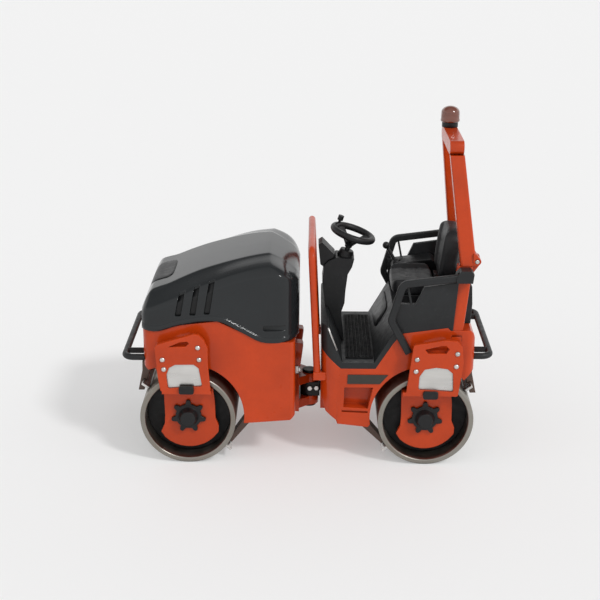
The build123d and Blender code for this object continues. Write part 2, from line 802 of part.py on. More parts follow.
with BuildPart() as side_panels:
    for y in (CHASSIS_HALF, -CHASSIS_HALF + 0.6):
        with BuildSketch(side_plane(y)):
            Polygon(
                (13.4, 19.6),
                (13.4, 20.6),
                (12.45, 20.6),
                (12.2, 24.2),
                (15.1, 24.2),
                (16.2, 26.7),
                (20.9, 27.4),
                (20.4, 19.9),
                align=None,
            )
            # thin mullion across the grab opening
            Polygon((13.75, 26.9), (14.05, 26.9), (14.6, 24.2), (14.3, 24.2), align=None)
        extrude(amount=0.6)
    for fixed in (rear_chassis.part, platform.part, legs):
        add(fixed, mode=Mode.SUBTRACT)
save(side_panels, "side_panels")

for side, flip in (("right", 1), ("left", -1)):
    with BuildPart() as handrail:
        with BuildLine() as rail:
            FilletPolyline(
                (21.9, flip * RAIL_Y, 28.4),
                (13.2, flip * RAIL_Y, 27.25),
                (11.7, flip * RAIL_Y, 21.9),
                (14.3, flip * RAIL_Y, 17.1),
                radius=1.1,
            )
        with BuildSketch(Plane(origin=rail.line @ 0, x_dir=(0, 1, 0), z_dir=rail.line % 0)):
            RectangleRounded(RAIL_T, RAIL_W, 0.25)
        sweep()
    save(handrail, f"handrail_{side}")

CLAMP_IN = LEG_TOP_OUT - 0.1
with BuildPart() as handrail_clamps:
    for y in (RAIL_Y + RAIL_T / 2 + 0.12, -CLAMP_IN):
        with BuildSketch(side_plane(y)):
            Polygon((20.5, 27.6), (20.5, 28.5), (21.1, 29.35), (22.5, 29.35), (22.9, 28.9), (22.75, 27.6), align=None)
        extrude(amount=RAIL_Y + RAIL_T / 2 + 0.12 - CLAMP_IN)
    for side in (1, -1):
        with BuildSketch(Plane.YZ.offset(20.4)):
            with Locations((side * RAIL_Y, 28.25)):
                Rectangle(RAIL_T, 1.5)
        extrude(amount=1.55, mode=Mode.SUBTRACT)
    add(legs, mode=Mode.SUBTRACT)
save(handrail_clamps, "handrail_clamps")

# right-hand control box and its lever
LEVER = Vector(13.4, 6.9, 24.6)
with BuildPart() as control_box:
    with BuildSketch(side_plane(8.9)):
        Polygon(
            (13.4, 21.9),
            (12.7, 23.9),
            (13.2, 24.9),
            (18.6, 25.6),
            (19.2, 25.2),
            (19.2, 22.3),
            (14.0, 22.3),
            align=None,
        )
    extrude(amount=3.4)
    with Locations(LEVER):
        Sphere(0.62 + RUN_GAP, mode=Mode.SUBTRACT)
    with BuildSketch(Plane.XY.offset(24.6)):
        with Locations((LEVER.X, LEVER.Y)):
            Circle(0.62 + RUN_GAP)
    extrude(amount=2, mode=Mode.SUBTRACT)
save(control_box, "control_box")

lever_axis = Vector(-0.5, 0, 0.866)
KNOB_UP = 3.2
KNOB_R = 0.55
with BuildPart() as lever_knob:
    with Locations(LEVER + lever_axis * KNOB_UP):
        Sphere(KNOB_R)
save(lever_knob, "lever_knob")

with BuildPart() as lever_stick:
    with Locations(LEVER):
        Sphere(0.62)
    with BuildSketch(Plane(origin=LEVER, z_dir=lever_axis)):
        Circle(0.26)
    extrude(amount=KNOB_UP - KNOB_R)
save(lever_stick, "lever_stick")


# ---------------------------------------------------------------- roll-over frame
EAR_IN = 7.0
POST_OUT = 9.35
POST_IN = POST_OUT - LEG_T
with BuildPart() as rops_legs:
    add(legs)
    # inner hinge ears on a foot that joins each leg
    for y in (LEG_TOP_OUT - 1.0, -EAR_IN):
        with BuildSketch(side_plane(y)):
            Polygon((22.2, 27.9), (22.2, 29.35), (23.9, 29.35), (22.9, 27.9), align=None)
        extrude(amount=LEG_TOP_OUT - 1.0 - EAR_IN)
    for y in (POST_IN - 0.4, -EAR_IN):
        with BuildSketch(side_plane(y)):
            with Locations((HINGE_X, HINGE_Z)):
                Circle(0.6)
            Polygon((22.7, 29.0), (22.9, 30.2), (24.0, 30.2), (24.1, 29.3), (23.6, 29.0), align=None)
            with Locations((HINGE_X, HINGE_Z)):
                Circle(HINGE_R, mode=Mode.SUBTRACT)
        extrude(amount=POST_IN - 0.4 - EAR_IN)
save(rops_legs, "rops_legs")

with BuildPart() as rear_cover:
    with BuildSketch(side_plane(7.6)):
        Polygon(
            (21.4, 20.3),
            (23.2, 20.3),
            (23.35, 23.2),
            (23.2, 25.8),
            (22.7, 26.9),
            (21.6, 27.0),
            align=None,
        )
    extrude(amount=15.2)
save(rear_cover, "rear_cover")

with BuildPart() as hinge_pins:
    for y in (POST_OUT + 0.1, -EAR_IN + 0.1):
        with BuildSketch(side_plane(y)):
            with Locations((HINGE_X, HINGE_Z)):
                Circle(HINGE_R)
        extrude(amount=POST_OUT - EAR_IN + 0.2)
save(hinge_pins, "hinge_pins")

with BuildPart() as rops_hoop:
    for flip in (1, -1):
        low = Plane(origin=(22.3, flip * (POST_OUT - LEG_T / 2), SPLIT_Z + 0.06))
        high = Plane(origin=(20.4, flip * (HOOP_TOP_OUT + 0.4 - LEG_T / 2), ROPS_TOP - 1.9))
        with BuildSketch(low):
            RectangleRounded(2.2, LEG_T, 0.25)
        with BuildSketch(high):
            RectangleRounded(2.0, LEG_T, 0.25)
        loft()
    # top bar, widening downwards to meet the posts
    with BuildSketch(Plane.YZ.offset(19.35)) as top_bar:
        Polygon(
            (-HOOP_TOP_OUT - 0.4, ROPS_TOP - 1.9),
            (HOOP_TOP_OUT + 0.4, ROPS_TOP - 1.9),
            (HOOP_TOP_OUT, ROPS_TOP),
            (-HOOP_TOP_OUT, ROPS_TOP),
            align=None,
        )
        fillet(top_bar.vertices().group_by(Axis.Z)[-1], radius=0.9)
    extrude(amount=1.95)
    # hinge lugs on the posts
    for y in (POST_OUT, -POST_IN):
        with BuildSketch(side_plane(y)):
            with Locations((HINGE_X, HINGE_Z)):
                Circle(0.55)
            Polygon((22.9, 29.6), (22.9, 31.2), (23.3, 31.2), (24.0, 30.2), (23.6, 29.6), align=None)
        extrude(amount=LEG_T)
    for y in (POST_OUT + 0.1, -POST_IN + 0.1):
        with BuildSketch(side_plane(y)):
            with Locations((HINGE_X, HINGE_Z)):
                Circle(HINGE_R + RUN_GAP)
        extrude(amount=LEG_T + 0.2, mode=Mode.SUBTRACT)
save(rops_hoop, "rops_hoop")

BEACON_Y = 4.2
with BuildPart() as beacon_base:
    with BuildSketch(Plane.XY.offset(ROPS_TOP)):
        with Locations((20.3, BEACON_Y)):
            Circle(1.15)
    extrude(amount=0.75)
save(beacon_base, "beacon_base")

with BuildPart() as beacon_lens:
    with BuildSketch(Plane.XY.offset(ROPS_TOP + 0.75)):
        with Locations((20.3, BEACON_Y)):
            Circle(1.38)
    extrude(amount=2.3)
    fillet(beacon_lens.edges().group_by(Axis.Z)[-1], radius=0.8)
    chamfer(beacon_lens.edges().group_by(Axis.Z)[0], length=0.15)
save(beacon_lens, "beacon_lens")
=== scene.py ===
import json
import math

import bmesh
import bpy
from mathutils import Matrix, Vector


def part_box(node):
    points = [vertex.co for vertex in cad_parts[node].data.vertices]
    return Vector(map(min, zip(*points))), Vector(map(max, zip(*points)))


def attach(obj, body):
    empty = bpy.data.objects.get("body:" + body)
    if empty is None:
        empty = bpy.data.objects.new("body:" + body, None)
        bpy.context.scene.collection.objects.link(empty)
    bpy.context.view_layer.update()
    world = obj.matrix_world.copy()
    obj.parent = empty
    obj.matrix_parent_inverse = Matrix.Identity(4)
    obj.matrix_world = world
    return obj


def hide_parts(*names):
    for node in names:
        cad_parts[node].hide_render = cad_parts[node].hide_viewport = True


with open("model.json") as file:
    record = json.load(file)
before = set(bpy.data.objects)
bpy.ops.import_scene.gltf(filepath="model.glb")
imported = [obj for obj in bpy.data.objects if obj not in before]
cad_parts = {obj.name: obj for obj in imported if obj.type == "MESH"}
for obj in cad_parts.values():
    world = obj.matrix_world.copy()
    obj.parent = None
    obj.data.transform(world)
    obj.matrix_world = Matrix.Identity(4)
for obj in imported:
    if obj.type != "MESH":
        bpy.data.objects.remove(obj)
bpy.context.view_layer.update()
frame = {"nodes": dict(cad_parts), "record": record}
NODES = frame["nodes"]
MM = 0.001
scene = bpy.context.scene

# camera: where it stands in millimetres, how it is turned in degrees, and its lens in millimetres
CAMERA_PLACE = (0.59, -171.25, 82.76)
CAMERA_PITCH = 19.855
CAMERA_YAW = 0.58
CAMERA_ROLL = 0.28
CAMERA_LENS = 73.76

# studio surround: (height, brightness) from straight down at 0 to straight up at 1
BACK_LIGHT = ((0.0, 0.77), (0.12, 0.80), (0.26, 1.0), (0.50, 1.0), (0.62, 0.30), (0.90, 0.25), (1.0, 0.55))
FRONT_LIGHT = ((0.0, 0.77), (0.12, 0.80), (0.26, 0.93), (0.45, 0.84), (0.80, 0.78), (1.0, 0.62))
WORLD_STRENGTH = 1.08
FLOOR_RADIUS = 4.0


# ---------------------------------------------------------------- camera, light, floor
def add_camera():
    data = bpy.data.cameras.new("camera")
    data.sensor_width = 36.0
    data.lens = CAMERA_LENS
    data.clip_start = 0.005
    data.clip_end = 20.0
    cam = bpy.data.objects.new("camera", data)
    scene.collection.objects.link(cam)
    turn = (
        Matrix.Rotation(math.radians(CAMERA_YAW), 4, "Z")
        @ Matrix.Rotation(math.radians(90) - math.radians(CAMERA_PITCH), 4, "X")
        @ Matrix.Rotation(math.radians(CAMERA_ROLL), 4, "Z")
    )
    cam.matrix_world = Matrix.Translation([c * MM for c in CAMERA_PLACE]) @ turn
    scene.camera = cam


def sun(name, toward, strength, angle):
    """Distant light that comes from the given direction."""
    data = bpy.data.lights.new(name, "SUN")
    data.energy = strength
    data.angle = math.radians(angle)
    obj = bpy.data.objects.new(name, data)
    scene.collection.objects.link(obj)
    obj.rotation_euler = Vector(toward).to_track_quat("Z", "Y").to_euler()


def add_world():
    """Studio surround: a bright band low down, a dark gap high behind, soft white elsewhere."""
    world = bpy.data.worlds.new("studio")
    scene.world = world
    world.use_nodes = True
    tree = world.node_tree
    tree.nodes.clear()
    coord = tree.nodes.new("ShaderNodeTexCoord")
    split = tree.nodes.new("ShaderNodeSeparateXYZ")
    back = tree.nodes.new("ShaderNodeValToRGB")
    front = tree.nodes.new("ShaderNodeValToRGB")
    side = tree.nodes.new("ShaderNodeMapRange")
    blend = tree.nodes.new("ShaderNodeMix")
    blend.data_type = "RGBA"
    sky = tree.nodes.new("ShaderNodeBackground")
    out = tree.nodes.new("ShaderNodeOutputWorld")
    tree.links.new(coord.outputs["Generated"], split.inputs[0])
    for ramp, stops in ((back, BACK_LIGHT), (front, FRONT_LIGHT)):
        tree.links.new(split.outputs["Z"], ramp.inputs[0])
        band = ramp.color_ramp.elements
        band[0].position, band[0].color = stops[0][0], (stops[0][1],) * 3 + (1,)
        band[1].position, band[1].color = stops[-1][0], (stops[-1][1],) * 3 + (1,)
        for place, level in stops[1:-1]:
            band.new(place).color = (level, level, level, 1)
    tree.links.new(split.outputs["Y"], side.inputs["Value"])
    side.inputs["From Min"].default_value = -0.15
    side.inputs["From Max"].default_value = 0.15
    tree.links.new(side.outputs["Result"], blend.inputs["Factor"])
    tree.links.new(front.outputs[0], blend.inputs["A"])
    tree.links.new(back.outputs[0], blend.inputs["B"])
    tree.links.new(blend.outputs["Result"], sky.inputs["Color"])
    tree.links.new(sky.outputs[0], out.inputs["Surface"])
    sky.inputs["Strength"].default_value = WORLD_STRENGTH


def add_floor():
    """Pale paper with a faint glow of its own, which keeps the shadows light."""
    mesh = bpy.data.meshes.new("floor")
    bm = bmesh.new()
    bmesh.ops.create_circle(bm, cap_ends=True, radius=FLOOR_RADIUS, segments=96)
    bm.to_mesh(mesh)
    bm.free()
    floor = bpy.data.objects.new("floor", mesh)
    scene.collection.objects.link(floor)
    mat = bpy.data.materials.new("floor_paper")
    mat.use_nodes = True
    shader = mat.node_tree.nodes["Principled BSDF"]
    shader.inputs["Base Color"].default_value = (0.62, 0.62, 0.62, 1)
    shader.inputs["Emission Color"].default_value = (1, 1, 1, 1)
    shader.inputs["Emission Strength"].default_value = 0.275
    shader.inputs["Roughness"].default_value = 0.9
    shader.inputs["Specular IOR Level"].default_value = 0.2
    mesh.materials.append(mat)


add_camera()
add_world()
add_floor()
sun("key", (0.54, -0.47, 0.69), 1.25, 9)
scene.view_settings.view_transform = "Standard"
scene.view_settings.look = "None"


# ---------------------------------------------------------------- materials
class Tree:
    """Small helper around one material's node tree."""

    def __init__(self, name):
        self.mat = bpy.data.materials.new(name)
        self.mat.use_nodes = True
        self.tree = self.mat.node_tree
        self.shader = self.tree.nodes["Principled BSDF"]
        self.coord = self.tree.nodes.new("ShaderNodeTexCoord").outputs["Object"]

    def node(self, kind, inputs=None, **props):
        n = self.tree.nodes.new(kind)
        for key, value in props.items():
            setattr(n, key, value)
        for key, value in (inputs or {}).items():
            self.put(n.inputs[key], value)
        return n

    def put(self, socket, value):
        if isinstance(value, bpy.types.NodeSocket):
            self.tree.links.new(value, socket)
        else:
            socket.default_value = value

    def noise(self, scale, detail=3.0, rough=0.55, vector=None):
        n = self.node("ShaderNodeTexNoise", {"Scale": scale, "Detail": detail, "Roughness": rough})
        self.put(n.inputs["Vector"], vector or self.coord)
        return n.outputs["Fac"]

    def stretch(self, x, y, z):
        n = self.node("ShaderNodeMapping", {"Scale": (x, y, z)})
        self.put(n.inputs["Vector"], self.coord)
        return n.outputs["Vector"]

    def span(self, value, low, high, to_low=0.0, to_high=1.0):
        n = self.node(
            "ShaderNodeMapRange",
            {"Value": value, "From Min": low, "From Max": high, "To Min": to_low, "To Max": to_high},
        )
        return n.outputs["Result"]

    def mix(self, factor, a, b):
        n = self.node("ShaderNodeMix", data_type="RGBA")
        self.put(n.inputs["Factor"], factor)
        self.put(n.inputs["A"], a)
        self.put(n.inputs["B"], b)
        return n.outputs["Result"]

    def math(self, op, a, b=0.0):
        n = self.node("ShaderNodeMath", operation=op)
        self.put(n.inputs[0], a)
        self.put(n.inputs[1], b)
        return n.outputs[0]

    def edges(self, radius):
        """About 1 on convex and concave corners, 0 on flats, and the rounded normal."""
        bevel = self.node("ShaderNodeBevel", {"Radius": radius}, samples=6)
        geo = self.node("ShaderNodeNewGeometry")
        dot = self.node("ShaderNodeVectorMath", operation="DOT_PRODUCT")
        self.put(dot.inputs[0], bevel.outputs[0])
        self.put(dot.inputs[1], geo.outputs["Normal"])
        return self.span(dot.outputs["Value"], 0.995, 0.86), bevel.outputs[0]

    def crevice_shade(self, distance):
        # mask of the shade in crevices, from ambient occlusion, used to paint shade into the colour
        ao = self.node("ShaderNodeAmbientOcclusion", {"Distance": distance}, samples=6)
        return self.span(ao.outputs["AO"], 0.85, 0.35)

    def bump(self, height, strength, distance, normal):
        n = self.node("ShaderNodeBump", {"Height": height, "Strength": strength, "Distance": distance})
        self.put(n.inputs["Normal"], normal)
        return n.outputs["Normal"]


def shade(colour, factor):
    return tuple(min(1.0, c * factor) for c in colour[:3]) + (1.0,)


def painted(
    name, colour, rough, coat, coat_rough=0.12, edge=1.35, peel=0.25, painted_shade=0.45, mottle=0.12, dust=0.05,
    gleam=0.5,
):
    """Sprayed or moulded gloss surface: mottled colour, edges lightened partly for wear and partly as a
    painted highlight, painted shade in crevices, dust, orange peel.
    """
    t = Tree(name)
    corner, soft_normal = t.edges(0.18 * MM)
    broad = t.noise(160, 4)
    fine = t.noise(2600, 2)
    tone = t.mix(t.span(broad, 0.3, 0.7), shade(colour, 1 - mottle), shade(colour, 1 + mottle))
    tone = t.mix(t.span(fine, 0.35, 0.75, 0, 0.18), tone, shade(colour, 0.75))
    # edges lightened, partly for paint wear and partly as a painted highlight
    worn_and_lit = t.math("MULTIPLY", corner, t.span(t.noise(900, 4), 0.35, 0.65, 0.25, 1.0))
    tone = t.mix(t.math("MULTIPLY", worn_and_lit, 0.55), tone, shade(colour, edge))
    # painted shade: crevices and corners darkened through the ambient occlusion mask
    tone = t.mix(t.math("MULTIPLY", t.crevice_shade(0.0011), painted_shade), tone, shade(colour, 0.28))
    dusty = t.math("MULTIPLY", t.span(t.noise(420, 6, 0.7), 0.52, 0.75), dust)
    tone = t.mix(dusty, tone, (0.55, 0.53, 0.5, 1))
    t.put(t.shader.inputs["Base Color"], tone)
    t.put(t.shader.inputs["Roughness"], t.span(t.noise(700, 5), 0.3, 0.7, rough * 0.8, rough * 1.3))
    t.shader.inputs["Specular IOR Level"].default_value = gleam
    t.shader.inputs["Coat Weight"].default_value = coat
    t.shader.inputs["Coat Roughness"].default_value = coat_rough
    wave = t.math("ADD", t.noise(900, 2), t.math("MULTIPLY", t.noise(5200, 2), 0.25))
    t.put(t.shader.inputs["Normal"], t.bump(wave, peel, 0.00004, soft_normal))
    return t.mat


def moulded(name, colour, rough, grain=0.35, grain_scale=9000, gleam=0.34):
    """Satin plastic with a fine moulded grain, rubbed corners and painted shade in crevices."""
    t = Tree(name)
    corner, soft_normal = t.edges(0.16 * MM)
    tone = t.mix(t.span(t.noise(220, 4), 0.3, 0.7), shade(colour, 0.85), shade(colour, 1.18))
    rub = t.math("MULTIPLY", corner, t.span(t.noise(1300, 4), 0.4, 0.65, 0.3, 1.0))
    tone = t.mix(t.math("MULTIPLY", rub, 0.6), tone, shade(colour, 1.8))
    # painted shade: crevices and corners darkened through the ambient occlusion mask
    tone = t.mix(t.math("MULTIPLY", t.crevice_shade(0.0010), 0.5), tone, shade(colour, 0.35))
    specks = t.math("MULTIPLY", t.span(t.noise(1500, 6, 0.75), 0.55, 0.75), 0.03)
    tone = t.mix(specks, tone, (0.42, 0.41, 0.4, 1))
    t.put(t.shader.inputs["Base Color"], tone)
    t.put(t.shader.inputs["Roughness"], t.span(t.noise(1100, 5), 0.3, 0.7, rough * 0.82, rough * 1.2))
    t.shader.inputs["Specular IOR Level"].default_value = gleam
    height = t.math("ADD", t.noise(grain_scale, 3, 0.6), t.math("MULTIPLY", t.noise(1200, 2), 0.6))
    t.put(t.shader.inputs["Normal"], t.bump(height, grain, 0.00003, soft_normal))
    return t.mat


def steel(name, colour, rough, brush, stained, line=0.25):
    """Machined metal with brush lines along the stretched direction, faint staining and painted shade in
    crevices.
    """
    t = Tree(name)
    corner, soft_normal = t.edges(0.12 * MM)
    lines = t.noise(1.0, 3, 0.6, t.stretch(*brush))
    tone = t.mix(t.span(lines, 0.3, 0.7), shade(colour, 0.82), shade(colour, 1.12))
    blotch = t.math("MULTIPLY", t.span(t.noise(190, 6, 0.65), 0.45, 0.7), stained)
    tone = t.mix(blotch, tone, (0.20, 0.14, 0.09, 1.0))
    tone = t.mix(t.math("MULTIPLY", corner, 0.5), tone, shade(colour, 1.5))
    # painted shade: crevices and corners darkened through the ambient occlusion mask
    tone = t.mix(t.math("MULTIPLY", t.crevice_shade(0.0009), 0.6), tone, shade(colour, 0.2))
    t.put(t.shader.inputs["Base Color"], tone)
    t.shader.inputs["Metallic"].default_value = 1.0
    patchy = t.math("ADD", lines, t.noise(600, 5))
    t.put(t.shader.inputs["Roughness"], t.span(patchy, 0.7, 1.3, rough * 0.75, rough * 1.35))
    t.put(t.shader.inputs["Normal"], t.bump(lines, line, 0.00003, soft_normal))
    return t.mat


ORANGE = (0.47, 0.043, 0.0035)
HOOD_GREY = (0.016, 0.018, 0.0195)
AMBER = (0.16, 0.035, 0.014)
CHARCOAL = (0.0125, 0.0135, 0.0145)
BLACK = (0.0065, 0.0068, 0.0075)

# one finish for each material slot
LOOKS = {
    "orange_paint": painted(
        "orange_enamel", ORANGE, rough=0.34, coat=0.45, coat_rough=0.07, edge=1.7, dust=0.0, gleam=0.12
    ),
    "hood_paint": painted(
        "hood_gloss", HOOD_GREY, rough=0.13, coat=0.0, edge=1.7, peel=0.08, painted_shade=0.3, mottle=0.08, dust=0.0,
        gleam=0.34,
    ),
    "dark_trim": moulded("dark_satin_plastic", CHARCOAL, rough=0.46),
    "black_trim": moulded("black_satin_plastic", BLACK, rough=0.42),
    "mat_rubber": moulded("mat_rubber", (0.005, 0.005, 0.0055), rough=0.6, grain=0.6, gleam=0.2),
    "seat_vinyl": moulded("seat_vinyl", (0.008, 0.0085, 0.0095), rough=0.45, grain=0.5, grain_scale=5200),
    "drum_steel": steel("drum_steel", (0.30, 0.285, 0.255), rough=0.38, brush=(25, 4200, 25), stained=0.35),
    "drum_inner": moulded("drum_web_paint", (0.006, 0.006, 0.0065), rough=0.6),
    "bright_steel": steel(
        "bright_steel", (0.62, 0.61, 0.59), rough=0.28, brush=(90, 40, 420), stained=0.03, line=0.05
    ),
    "bracket_brown": painted("bracket_brown", (0.07, 0.035, 0.022), rough=0.42, coat=0.2),
    "badge": moulded("badge_strip", (0.035, 0.032, 0.026), rough=0.5),
    "screen": painted("display_face", (0.30, 0.36, 0.35), rough=0.2, coat=0.8, coat_rough=0.06, peel=0.05),
    "amber_lens": painted(
        "amber_lens", AMBER, rough=0.12, coat=1.0, coat_rough=0.03, peel=0.05, mottle=0.3, dust=0.0
    ),
}

# width of the rounded edges in millimetres; other finishes take SMALL_BEVEL
SMALL_BEVEL = 0.07
BEVELS = {
    "orange_paint": 0.16,
    "dark_trim": 0.12,
    "black_trim": 0.09,
    "bright_steel": 0.05,
    "drum_steel": 0.05,
    "mat_rubber": 0.03,
    "badge": 0.03,
    "screen": 0.03,
}


def soften(obj, width):
    """Rounds the sharp edges of a CAD node."""
    weld = obj.modifiers.new("weld", "WELD")
    weld.merge_threshold = 0.002 * MM
    bevel = obj.modifiers.new("bevel", "BEVEL")
    bevel.width = width * MM
    bevel.segments = 2
    bevel.limit_method = "ANGLE"
    bevel.angle_limit = math.radians(35)
    bevel.use_clamp_overlap = True


slot_of = {row["node"]: row["material_slot"] for row in frame["record"]["subparts"]}
for node_name, obj in NODES.items():
    obj.data.materials.clear()
    obj.data.materials.append(LOOKS[slot_of[node_name]])
    soften(obj, BEVELS.get(slot_of[node_name], SMALL_BEVEL))


# ---------------------------------------------------------------- shaped pieces
def mesh_object(name, verts, faces):
    """Object whose points are given in millimetres, with its faces turned outwards."""
    mesh = bpy.data.meshes.new(name)
    mesh.from_pydata([tuple(c * MM for c in v) for v in verts], [], faces)
    bm = bmesh.new()
    bm.from_mesh(mesh)
    bmesh.ops.recalc_face_normals(bm, faces=bm.faces)
    bm.to_mesh(mesh)
    bm.free()
    obj = bpy.data.objects.new(name, mesh)
    scene.collection.objects.link(obj)
    return obj


def new_piece(name, verts, faces, look, body, replaced=()):
    """Smooth piece that rides on a body and may stand for CAD nodes."""
    obj = mesh_object(name, verts, faces)
    obj.data.materials.append(LOOKS[look])
    obj.data.shade_smooth()
    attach(obj, body)
    if replaced:
        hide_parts(*replaced)
    return obj


def rings_to_mesh(rings):
    """Closed tube through rings of equal length, with a face over each end."""
    count = len(rings[0])
    verts = [v for ring in rings for v in ring]
    faces = []
    for i in range(len(rings) - 1):
        for j in range(count):
            k = (j + 1) % count
            faces.append((i * count + j, i * count + k, (i + 1) * count + k, (i + 1) * count + j))
    faces.append(tuple(range(count)))
    faces.append(tuple((len(rings) - 1) * count + j for j in range(count)))
    return verts, faces


def along(points, x):
    """Smooth value at x through (x, value) points."""
    xs = [p[0] for p in points]
    i = 0
    while i < len(xs) - 2 and x > xs[i + 1]:
        i += 1
    x0, x1 = xs[i], xs[i + 1]
    t = min(1.0, max(0.0, (x - x0) / (x1 - x0)))
    v = [p[1] for p in points]
    m0 = m1 = (v[i + 1] - v[i]) / (x1 - x0)
    if i > 0:
        m0 = (v[i + 1] - v[i - 1]) / (xs[i + 1] - xs[i - 1])
    if i < len(xs) - 2:
        m1 = (v[i + 2] - v[i]) / (xs[i + 2] - xs[i])
    h = x1 - x0
    a, b = 2 * t**3 - 3 * t**2 + 1, t**3 - 2 * t**2 + t
    return a * v[i] + b * h * m0 + (1 - a) * v[i + 1] + (t**3 - t**2) * h * m1


# hood sections: x, then (y, z) of the flank's top, the shoulder and the edge of the crown
HOOD_SECTIONS = [
    (-23.35, (9.4, 22.0), (9.0, 22.45), (8.0, 22.75)),
    (-22.9, (10.0, 22.6), (9.3, 23.15), (7.8, 23.8)),
    (-22.2, (10.35, 22.85), (9.5, 23.45), (7.4, 24.85)),
    (-21.2, (10.5, 23.3), (9.6, 23.85), (7.2, 25.3)),
    (-19.9, (10.5, 23.75), (9.6, 24.35), (7.0, 25.7)),
    (-17.6, (10.5, 24.6), (9.6, 25.3), (6.7, 26.7)),
    (-15.2, (10.5, 25.4), (9.6, 26.4), (6.4, 27.65)),
    (-12.8, (10.5, 26.1), (9.6, 27.35), (6.2, 28.4)),
    (-10.6, (10.5, 26.85), (9.6, 28.2), (6.0, 29.0)),
    (-8.1, (10.5, 27.6), (9.5, 28.9), (5.7, 29.55)),
    (-5.6, (10.45, 28.1), (9.3, 29.3), (5.3, 29.87)),
    (-5.0, (10.4, 28.2), (9.2, 29.3), (5.2, 29.7)),
    (-3.4, (10.2, 27.95), (8.9, 28.6), (5.0, 28.8)),
    (-2.3, (9.4, 27.3), (8.4, 27.8), (5.0, 28.0)),
    (-1.6, (8.0, 26.6), (7.2, 27.0), (4.9, 27.3)),
    (-1.2, (6.4, 25.9), (5.9, 26.3), (4.4, 26.6)),
]
HOOD_CURVES = [
    [(section[0], section[level][axis]) for section in HOOD_SECTIONS]
    for level in (1, 2, 3)
    for axis in (0, 1)
]

# height of the hood's lower edge: x, z
SEAM = [
    (-23.35, 20.0), (-21.0, 19.9), (-17.9, 20.8), (-12.6, 21.4), (-9.4, 19.9), (-6.2, 18.3), (-1.2, 18.35)
]

# louvre slots in the hood's sides: (x, z) of foot and head, then the latch recess
SLOTS = [((-18.15, 22.1), (-17.5, 25.5)), ((-16.1, 22.25), (-15.4, 26.3)), ((-14.1, 22.4), (-13.3, 27.1))]
SLOT_HALF = 0.42
SLOT_SLANT = 0.15
SLOT_FLOOR_Y = 9.3
LATCH = [(-6.2, 19.95), (-2.8, 19.95), (-2.8, 20.75), (-6.2, 20.75)]
LATCH_FLOOR_Y = 10.0
CUTTER_Y = 12
CUT_ROUND = 0.18
LIP = 0.26

# plate on the nose: its middle, and half its length and width
INLAY_X = -21.1
INLAY_HALF = (1.75, 3.9)


def rounded_chain(points, passes):
    """Corner cutting that keeps both ends."""
    for _ in range(passes):
        cut = [points[0]]
        for a, b in zip(points, points[1:]):
            cut.append((a[0] * 0.75 + b[0] * 0.25, a[1] * 0.75 + b[1] * 0.25))
            cut.append((a[0] * 0.25 + b[0] * 0.75, a[1] * 0.25 + b[1] * 0.75))
        cut.append(points[-1])
        points = cut
    return points


def hood_half(x):
    """Half section from the seam up to the middle: lip, flank, shoulder, crease and flat crown."""
    low_y, low_z, mid_y, mid_z, top_y, top_z = (along(curve, x) for curve in HOOD_CURVES)
    seam = along(SEAM, x)
    skirt = [
        (low_y - 0.3, seam),
        (low_y + LIP * 0.6, seam),
        (low_y + LIP, seam + 0.15),
        (low_y + LIP, seam + 0.5),
        (low_y + LIP * 0.5, seam + 0.78),
        (low_y, seam + 0.86),
    ]
    upper = [
        (low_y, seam + 0.95),
        (low_y, (seam + low_z) / 2),
        (low_y, low_z - 0.25),
        (low_y * 0.6 + mid_y * 0.4, low_z * 0.6 + mid_z * 0.4),
        (mid_y, mid_z),
        (top_y + 0.45, top_z - 0.25 * (top_z - mid_z)),
        (top_y, top_z),
        (top_y - 0.6, top_z + 0.02),
        (top_y * 0.4, top_z + 0.05),
        (0, top_z + 0.06),
    ]
    return rounded_chain(skirt, 1) + rounded_chain(upper, 2)


def hood_top(x):
    return along(HOOD_CURVES[5], x) + 0.05


def spaced(values, step):
    """Stations between the given ones no further apart than step."""
    found = [values[0]]
    for a, b in zip(values, values[1:]):
        parts = max(1, math.ceil((b - a) / step))
        found += [a + (b - a) * k / parts for k in range(1, parts + 1)]
    return found


def side_cutter():
    """Rounded prisms on both sides of the hood that cut its louvre slots and its latch recess."""
    outlines = [
        [
            (foot[0] - SLOT_HALF, foot[1]),
            (foot[0] + SLOT_HALF, foot[1]),
            (head[0] + SLOT_HALF, head[1] + SLOT_SLANT),
            (head[0] - SLOT_HALF, head[1] - SLOT_SLANT),
        ]
        for foot, head in SLOTS
    ]
    floors = [SLOT_FLOOR_Y] * len(outlines)
    verts, faces = [], []
    for outline, floor_y in zip(outlines + [LATCH], floors + [LATCH_FLOOR_Y]):
        for side in (1, -1):
            first = len(verts)
            for y in (floor_y * side, CUTTER_Y * side):
                verts += [(x, y, z) for x, z in rounded_outline(outline, CUT_ROUND)]
            count = (len(verts) - first) // 2
            for j in range(count):
                k = (j + 1) % count
                faces.append((first + j, first + k, first + count + k, first + count + j))
            faces.append(tuple(first + j for j in range(count)))
            faces.append(tuple(first + count + j for j in range(count)))
    return mesh_object("slot_cutter", verts, faces)


def build_hood():
    rings = []
    for x in spaced([section[0] for section in HOOD_SECTIONS], 0.2):
        half = hood_half(x)
        rings.append([(x, y, z) for y, z in half] + [(x, -y, z) for y, z in reversed(half[:-1])])
    hood = new_piece("hood_shell", *rings_to_mesh(rings), "hood_paint", "front_frame", ["hood"])
    cutter = side_cutter()
    carve = hood.modifiers.new("slots", "BOOLEAN")
    carve.operation = "DIFFERENCE"
    carve.solver = "EXACT"
    carve.object = cutter
    settle(hood)
    hood.data.set_sharp_from_angle(angle=math.radians(40))
    bpy.data.objects.remove(cutter)
    edge = hood.modifiers.new("edge", "BEVEL")
    edge.width = 0.08 * MM
    edge.segments = 2
    edge.limit_method = "ANGLE"
    edge.angle_limit = math.radians(50)


